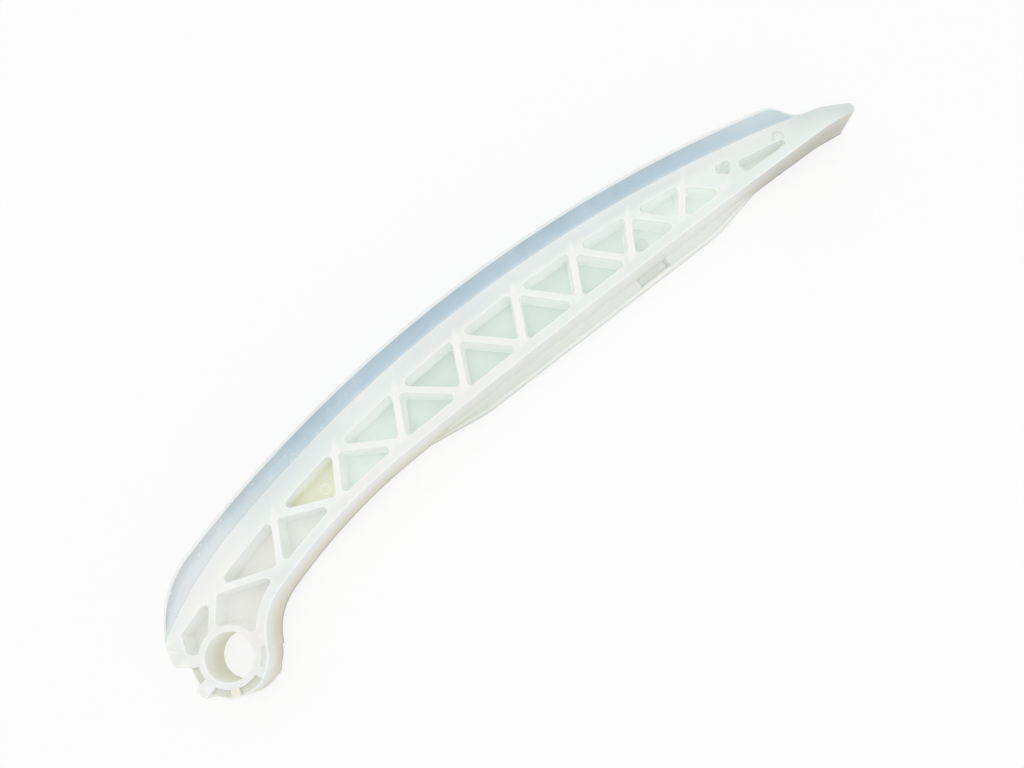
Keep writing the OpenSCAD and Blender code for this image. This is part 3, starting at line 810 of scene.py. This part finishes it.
def smooth_normals(mesh, levels):
    """Normals weighted by area, and straight up or down where a point lies on a flat face."""
    normal, area = column(mesh.polygons, "normal", 3), column(mesh.polygons, "area")
    sides, owner = column(mesh.polygons, "loop_total", 1, int)[:, 0], column(mesh.loops, "vertex_index", 1, int)[:, 0]
    total, flat = np.zeros((len(mesh.vertices), 3)), np.zeros(len(mesh.vertices))
    np.add.at(total, owner, np.repeat(normal * area, sides, axis=0))
    np.add.at(flat, owner, np.repeat(np.abs(normal[:, 2]) > LEVEL, sides))
    z = column(mesh.vertices, "co", 3)[:, 2]
    for level, up in levels:
        total[(np.abs(z - level * MM) < IN_PLANE) & (flat > 0)] = (0, 0, up)
    mesh.normals_split_custom_set_from_vertices(unit(total + 1e-20))


def build_moulding(s, p):
    """The whole guide as one closed surface: belt, pockets and bore as grids, joined at their rims, and flat faces
    between."""
    surface = Surface()
    grid, values = belt(s, p)
    surface.add(grid, **values)
    low, high = truss(s, p)
    back = lambda x: back_line(s, p, s.back_strip, x)
    strip = lambda x: over(p.strip_c, s.strip_r, x)
    loops = bays(s, low[1:-1], high[1:-1], low[2:], back) + bays(s, high[:-2], low[1:-1], high[1:-1], strip)
    loops += [ring_pocket(s, p, low, high), nose_pocket(s, p, low, high)]
    amber = np.arange(len(loops)) == len(low) - 1
    width, depth = s.guide_width, (s.guide_width - s.web) / 2
    # Rows: outline, depth, mouth, fillet, draft, yellowing of the floor, and amount of painted shade.
    shapes = [(loop, depth, s.mouth_r, s.floor_r, s.draft, a, 0) for loop, a in zip(loops, amber)]
    shapes += [(loop, depth, s.end_mouth_r, s.end_mouth_r, s.end_draft, 0, grey)
               for loop, grey in zip(end_pockets(s, p), (0.03, 0.1))]
    shapes += [(boss_mark(s, p), s.mark_depth, s.mark_mouth_r, s.mark_floor_r, s.mark_draft, 0, 0.16)]
    for loop, sink, mouth, fillet, draft, yellow, grey in shapes:
        cup, light, down = sunk(loop, sink, mouth, fillet, draft)
        # Painted shade, growing from the mouth down to the floor.
        dull = grey * ramp(down, 0.05, 0.4)
        down = down * (min(sink / 3, 1) if mouth == s.mouth_r else min(sink / 3, 0.95))
        yellowed = ramp(down, 0.5, 1) * yellow
        surface.add(cup * [1, 1, -1] + [0, 0, width], edge=light, deep=down, amber=yellowed, shade=dull)
        surface.add(cup, True, edge=light, deep=down, shade=dull)
    r, m = s.bore_d / 2, s.mouth_r
    turn = ray(np.linspace(360, 0, BORE_POINTS + 1)[:-1])
    reach_out = np.r_[r + m * (1 - SIN), r, r, r, r + m * (1 - SIN[::-1])]
    height = np.r_[width - m * (1 - COS), width * np.array([0.7, 0.5, 0.3]), m * (1 - COS[::-1])]
    height = np.broadcast_to(height[:, None], (BORE_POINTS, len(height), 1))
    bore = np.concatenate([turn[:, None] * reach_out[:, None], height], -1)
    # Bore: painted highlight round its near rim, and painted warm shade that grows down the bore.
    rim = np.r_[0, .7, 1, .8, .2, np.zeros(8)]
    inside = np.r_[0, 0, .1, .2, .3, .5, .7, .85, 1, 1, 1, .6, 0]
    surface.add(bore, edge=rim, warm=0.5 * inside, amber=0.2 * inside, shade=0.14 * inside ** 2,
                deep=np.minimum(3 * inside, 0.9))
    mesh = surface.mesh("chain_guide_moulding")
    levels = [(width, 1), (0, -1), (width - depth, 1), (depth, -1), (width - s.mark_depth, 1), (s.mark_depth, -1)]
    bm = bmesh.new()
    bm.from_mesh(mesh)
    bmesh.ops.remove_doubles(bm, verts=bm.verts, dist=SAME_POINT)
    bmesh.ops.dissolve_degenerate(bm, dist=NO_EDGE, edges=bm.edges)
    close_planes(bm, levels)
    bmesh.ops.recalc_face_normals(bm, faces=bm.faces)
    still_open = sum(e.is_boundary for e in bm.edges)
    print("moulding:", len(bm.verts), "points,", len(bm.faces), "faces,", still_open, "open edges")
    bm.to_mesh(mesh)
    bm.free()
    mesh.shade_smooth()
    smooth_normals(mesh, levels)
    return mesh


# Finish


def by(operation):
    """A method that combines a shader value with another one or with a number."""
    return lambda self, other: self.math(operation, other)


class Val:
    """A shader value. Arithmetic on it adds Math nodes, and plain numbers may stand on either side."""

    def __init__(self, finish, socket):
        self.finish, self.socket = finish, socket

    def math(self, operation, *others):
        return self.finish.node("ShaderNodeMath", dict(enumerate((self, *others))), operation=operation)[0]

    __add__ = __radd__ = by("ADD")
    __mul__ = __rmul__ = by("MULTIPLY")
    __sub__, __truediv__, __pow__ = by("SUBTRACT"), by("DIVIDE"), by("POWER")

    def __rsub__(self, other):
        return (self * -1) + other

    def clamp(self):
        return self.finish.node("ShaderNodeClamp", {0: self})[0]

    def clamp_low(self):
        return self.math("MAXIMUM", 0.0)

    def between(self, low, high):
        """Smooth step from 0 at low to 1 at high."""
        inputs = {0: self, 1: low, 2: high, 3: 0.0, 4: 1.0}
        return self.finish.node("ShaderNodeMapRange", inputs, interpolation_type="SMOOTHSTEP", clamp=True)[0]


class Finish:
    """The nodes of a material or a world."""

    def __init__(self, owner):
        owner.use_nodes = True
        self.owner, self.tree = owner, owner.node_tree
        self.tree.nodes.clear()

    def node(self, kind, inputs=(), **settings):
        """Adds a node: settings first, then the values or links of its sockets. Returns its outputs as values."""
        made = self.tree.nodes.new(kind)
        for key, value in settings.items():
            setattr(made, key, value)
        for key, value in dict(inputs).items():
            if isinstance(value, Val):
                self.tree.links.new(value.socket, made.inputs[key])
            else:
                made.inputs[key].default_value = value
        return [Val(self, socket) for socket in made.outputs]

    def attribute(self, name):
        return self.node("ShaderNodeAttribute", attribute_name=name)[2]

    def mix(self, factor, a, b):
        """Colour a where the factor is 0 and b where it is 1."""
        a, b = (c if isinstance(c, Val) else (*c, 1.0) for c in (a, b))
        return self.node("ShaderNodeMix", {0: factor, 6: a, 7: b}, data_type="RGBA")[2]

    def distance(self, x, y):
        return (x * x + y * y) ** 0.5

    def arc_height(self, x, centre, radius):
        """Height of the upper half of a circle at the place x."""
        across = x - centre[0]
        return (radius ** 2 - across * across) ** 0.5 + centre[1]

    def noise(self, place, scale, detail=2.0):
        return self.node("ShaderNodeTexNoise", {"Vector": place, "Scale": scale, "Detail": detail})[0]


def nylon(s, p):
    """Natural nylon: milky and satin, with faint clouds, small marks of the mould and a fine skin, and with painted
    light and shade: bluish painted shade in the thin rails, warm painted shade on the back and in the bore beside the
    nylon's yellowing, painted shade in the lee of the tongue, darker pocket floors, lighter pocket walls that glow a
    little, and painted highlights along edges and ribs. Each layer of colour covers the ones before it by its factor."""
    look = bpy.context.scene.guide_finish
    f = Finish(bpy.data.materials.new("natural_nylon"))
    place = f.node("ShaderNodeTexCoord")[3]
    x, y, z = (v * (1 / MM) for v in f.node("ShaderNodeSeparateXYZ", {0: place}))
    edge, rail, warm, shade, deep, amber = (f.attribute(n) for n in Surface.names)

    def past(name):
        return x.between(*RANGES[name])

    cloud = f.noise(place, 55.0, 3.0) - 0.5
    patch = f.noise(place, 190.0, 2.0) - 0.5
    fine = f.noise(place, 900.0)
    upper = z.between(s.guide_width - 0.5, s.guide_width - 0.2)
    below = f.arc_height(x, p.strip_c, s.strip_r) - y
    flat = x.between(s.flat_x - 1, s.flat_x + 1)
    back_y = f.arc_height(x, p.flat_c, s.flat_r) * flat + f.arc_height(x, p.arch_c, s.arch_r) * (1 - flat)
    above = y - back_y - s.back_strip
    truss_zone = past("truss_in") * (1 - past("truss_out")) * upper
    # Painted highlight on the rib tops, more on the rising ribs, and in faint streaks where they meet the strip.
    rib = below.between(-0.7, 0.5) * above.between(-0.9, 0.3) * truss_zone
    run = s.blade_length - s.last_joint - s.first_joint
    ease = s.bay_ease_share
    t = (x + below / (below + above) * s.rib_lean - (s.rib_lean + s.first_joint)) / run
    t = (1 + ease - ((1 + ease) ** 2 - 4 * ease * t).clamp_low() ** 0.5) / (2 * ease)
    joint = ((t * round(run / s.bay) + 0.5).math("FRACT") - 0.5).math("ABSOLUTE") * s.bay
    rising = 1 - joint.between(0.9, 1.6)
    streak = (1 - joint.between(0.2, 1.1)) * below.between(-2.6, -0.8) * (1 - below.between(-0.2, 0.8)) * truss_zone
    # Painted shade in the lee of the tongue.
    under = f.arc_height(x, p.crest_c, p.run_r) - y
    lee = 1 - under.between(0, 6) * (1 - x.between(s.tongue_x, s.blade_length))
    lee = x.between(s.foot_end + 4, s.blade_length - 8) * lee * upper
    cool = (1 - below.between(-1.5, -0.3)) * past("cool_in") * (1 - past("cool_out")) * upper
    # Painted glow on the face by the nose.
    glow = (1 - past("glow")) * y.between(8, 14) * upper
    floor = deep.between(0.985, 1.0)
    near_floor = floor * z.between(s.guide_width / 2 - 0.2, s.guide_width / 2 + 0.2)
    web = floor * (0.5 + 0.5 * past("web_in") * (1 - past("web_out")))
    # Painted bluish shade of the rails, spread onto the face beside them.
    bleed = (1 - under.between(0, 6)) * (1 - past("bleed")) * upper
    # Painted light on the pocket walls; near the ring by the pivot they take the floors' painted shade.
    wall = deep.between(0.02, 0.2) * (1 - floor)
    warm_wall = wall * (1 - past("warm_wall")) * f.distance(x, y).between(6.6, 7.2)
    face = dict(floor=near_floor, side=upper, speckled=near_floor * patch.between(-0.05, 0.1))
    specks = f.noise(place, 1100.0, 0.0).between(0.72, 0.8)
    marks = dict(light=specks * (rail * (0.6 - 0.45 * past("specks")) + glow * 0.3), dull=0.0, gate=0.0)
    for kind, where, along, across, radius, line, weight in MARKS:
        gap = (f.distance(x - along, y - across) - radius).math("ABSOLUTE")
        marks[kind] = (1 - gap.between(0.3 * line, line)) * face[where] * weight + marks[kind]
    layers = (
        (f.noise(place, 36.0, 1.0).between(0.45, 0.62) * 0.6 + (1 - past("blush")) * upper * 0.55, look.blush),
        # Painted light: the pocket walls lighter than the faces.
        (deep.between(0.0, 0.3), look.wall),
        # Painted shade: darker pocket floors, warmer by the pivot.
        (web + warm_wall * 0.22, f.mix(past("warm_web"), look.warm_web, look.web)),
        # Yellowing in one pocket, and painted warm shade down the bore.
        (amber * 0.9, look.amber),
        # Painted warm shade, with the yellowing of the lug and heel, and the gate mark.
        (warm + patch * 0.5 * warm + marks["gate"] * 0.7, look.back),
        # Painted bluish shade of the rails and beside them, and painted shade in the lee of the tongue.
        (rail + cloud * 0.3 * rail + patch * 0.15 * rail + cool * 0.12 + lee * 0.15 + bleed * 0.26, look.rail),
        # Painted shade, with the dull marks of the mould.
        (shade + patch * 0.3 * shade + lee * 0.2 + marks["dull"], look.shade),
        (cloud * 0.5 + patch * 0.3 + 0.12, look.wall),
        # Painted highlights on edges, ribs and by the nose, and the light marks of the mould.
        (edge * 0.8 + rib * (0.2 + 0.3 * rising) + streak * 0.5 + glow * 0.45 + marks["light"] * 0.8, look.edge))
    colour = look.face
    for factor, cover in layers:
        colour = f.mix(factor.clamp(), colour, cover)
    roughness = (cloud * 0.12 + fine * 0.06 + (look.roughness - 0.03)).clamp()
    height = fine + cloud * 1.5 + marks["light"]
    bump = f.node("ShaderNodeBump", {"Strength": 0.1, "Distance": 0.0002, "Height": height})[0]
    # Painted glow: the pocket walls give off a little light by emission.
    shader = f.node("ShaderNodeBsdfPrincipled", {
        "Base Color": colour, "Roughness": roughness, "IOR": 1.53, "Specular IOR Level": 0.4,
        "Subsurface Weight": look.milk, "Subsurface Radius": (1.0, 1.0, 0.9), "Subsurface Scale": look.scatter,
        "Normal": bump, "Emission Color": f.mix(wall, (0.0, 0.0, 0.0), look.wall), "Emission Strength": look.seep})[0]
    f.node("ShaderNodeOutputMaterial", {"Surface": shader})
    return f.owner


def paper():
    """White paper for the floor: it shines white to the camera and in reflections, and keeps part of its own shading,
    so that the shadow stays."""
    f = Finish(bpy.data.materials.new("white_paper"))
    path = f.node("ShaderNodeLightPath")
    seen = (path[0] + path[3] + path[6]).clamp()
    diffuse = f.node("ShaderNodeBsdfDiffuse", {"Color": (0.95, 0.95, 0.95, 1)})[0]
    glow = f.node("ShaderNodeEmission", {"Color": (1, 1, 1, 1), "Strength": 1.0})[0]
    shader = f.node("ShaderNodeMixShader", {0: seen * 0.78, 1: diffuse, 2: glow})[0]
    f.node("ShaderNodeOutputMaterial", {"Surface": shader})
    return f.owner


def sky(strength):
    """Even white light from all round, which the camera itself sees as plain white."""
    f = Finish(bpy.data.worlds.new("studio_sky"))
    light, white = (f.node("ShaderNodeBackground", {"Color": (1, 1, 1, 1), "Strength": v})[0] for v in (strength, 1.0))
    camera_ray = f.node("ShaderNodeLightPath")[0]
    shader = f.node("ShaderNodeMixShader", {0: camera_ray, 1: light, 2: white})[0]
    f.node("ShaderNodeOutputWorld", {"Surface": shader})
    return f.owner


def placed(name, data, right, up, back, at):
    """A new object in the scene, with its three axes and its place as the columns of its matrix."""
    thing = bpy.data.objects.new(name, data)
    thing.matrix_world = Matrix(np.r_[np.c_[right, up, back, at], [[0, 0, 0, 1]]].tolist())
    bpy.context.scene.collection.objects.link(thing)
    return thing


# Operators


class GUIDE_OT_moulding(bpy.types.Operator):
    """Build the guide's moulding in place of the plain solid"""

    bl_idname = "chain_guide.moulding"
    bl_label = "Build moulding"

    def execute(self, context):
        s = sizes()
        p = plan(s)
        mesh = build_moulding(s, p)
        if not mesh.polygons:
            raise RuntimeError("the moulding has no faces")
        mesh.materials.append(nylon(s, p))
        piece = bpy.data.objects.new("chain_guide_moulding", mesh)
        context.scene.collection.objects.link(piece)
        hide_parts("chain_guide")
        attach(piece, "root")
        return {"FINISHED"}


class GUIDE_OT_studio(bpy.types.Operator):
    """Set up the floor, the soft lamps, the even sky and the camera"""

    bl_idname = "chain_guide.studio"
    bl_label = "Set up studio"

    def execute(self, context):
        scene, look = context.scene, context.scene.guide_studio
        scene.view_settings.view_transform = "Standard"
        scene.cycles.diffuse_bounces = 12
        corners = np.array([[-1, -1], [1, -1], [1, 1], [-1, 1]]) * FLOOR_HALF
        mesh = bpy.data.meshes.new("studio_floor")
        mesh.from_pydata(np.c_[corners, np.full(4, -FLOOR_DROP)], [], [[0, 1, 2, 3]])
        mesh.materials.append(paper())
        floor = placed("studio_floor", mesh, *np.eye(3), (0, 0, 0))
        for name, power, size, at in LAMPS:
            lamp = bpy.data.lights.new(name, "AREA")
            lamp.energy, lamp.size = getattr(look, power), size
            back = unit(at - LAMP_AIM)
            right = unit(np.cross((0.0, 1.0, 0.0), back))
            placed(name, lamp, right, np.cross(back, right), back, at)
        scene.world = sky(look.sky)
        camera = bpy.data.cameras.new("photo_camera")
        camera.lens, camera.sensor_width, camera.clip_start = look.lens, 36, 0.01
        scene.camera = placed("photo_camera", camera, CAMERA_RIGHT, CAMERA_UP, CAMERA_BACK, CAMERA_PLACE)
        return {"FINISHED"}


class GUIDE_PT_panel(bpy.types.Panel):
    """The guide's sizes, finish and studio"""

    bl_label = "Timing Chain Guide"
    bl_idname = "GUIDE_PT_panel"
    bl_space_type = "VIEW_3D"
    bl_region_type = "UI"
    bl_category = "Chain Guide"

    def draw(self, context):
        scene = context.scene
        for operator, group in (("chain_guide.moulding", scene.guide_sizes), (None, scene.guide_finish),
                                ("chain_guide.studio", scene.guide_studio)):
            box = self.layout.box()
            for key in type(group).__annotations__:
                box.prop(group, key)
            if operator:
                box.operator(operator)


CLASSES = (GuideSizes, GuideFinish, StudioSettings, GUIDE_OT_moulding, GUIDE_OT_studio, GUIDE_PT_panel)
GROUPS = {"guide_sizes": GuideSizes, "guide_finish": GuideFinish, "guide_studio": StudioSettings}


def register():
    for cls in CLASSES:
        bpy.utils.register_class(cls)
    for name, group in GROUPS.items():
        setattr(bpy.types.Scene, name, bpy.props.PointerProperty(type=group))


def unregister():
    for name in GROUPS:
        delattr(bpy.types.Scene, name)
    for cls in reversed(CLASSES):
        bpy.utils.unregister_class(cls)


def main():
    register()
    bpy.ops.chain_guide.moulding()
    bpy.ops.chain_guide.studio()


if __name__ == "__main__":
    main()
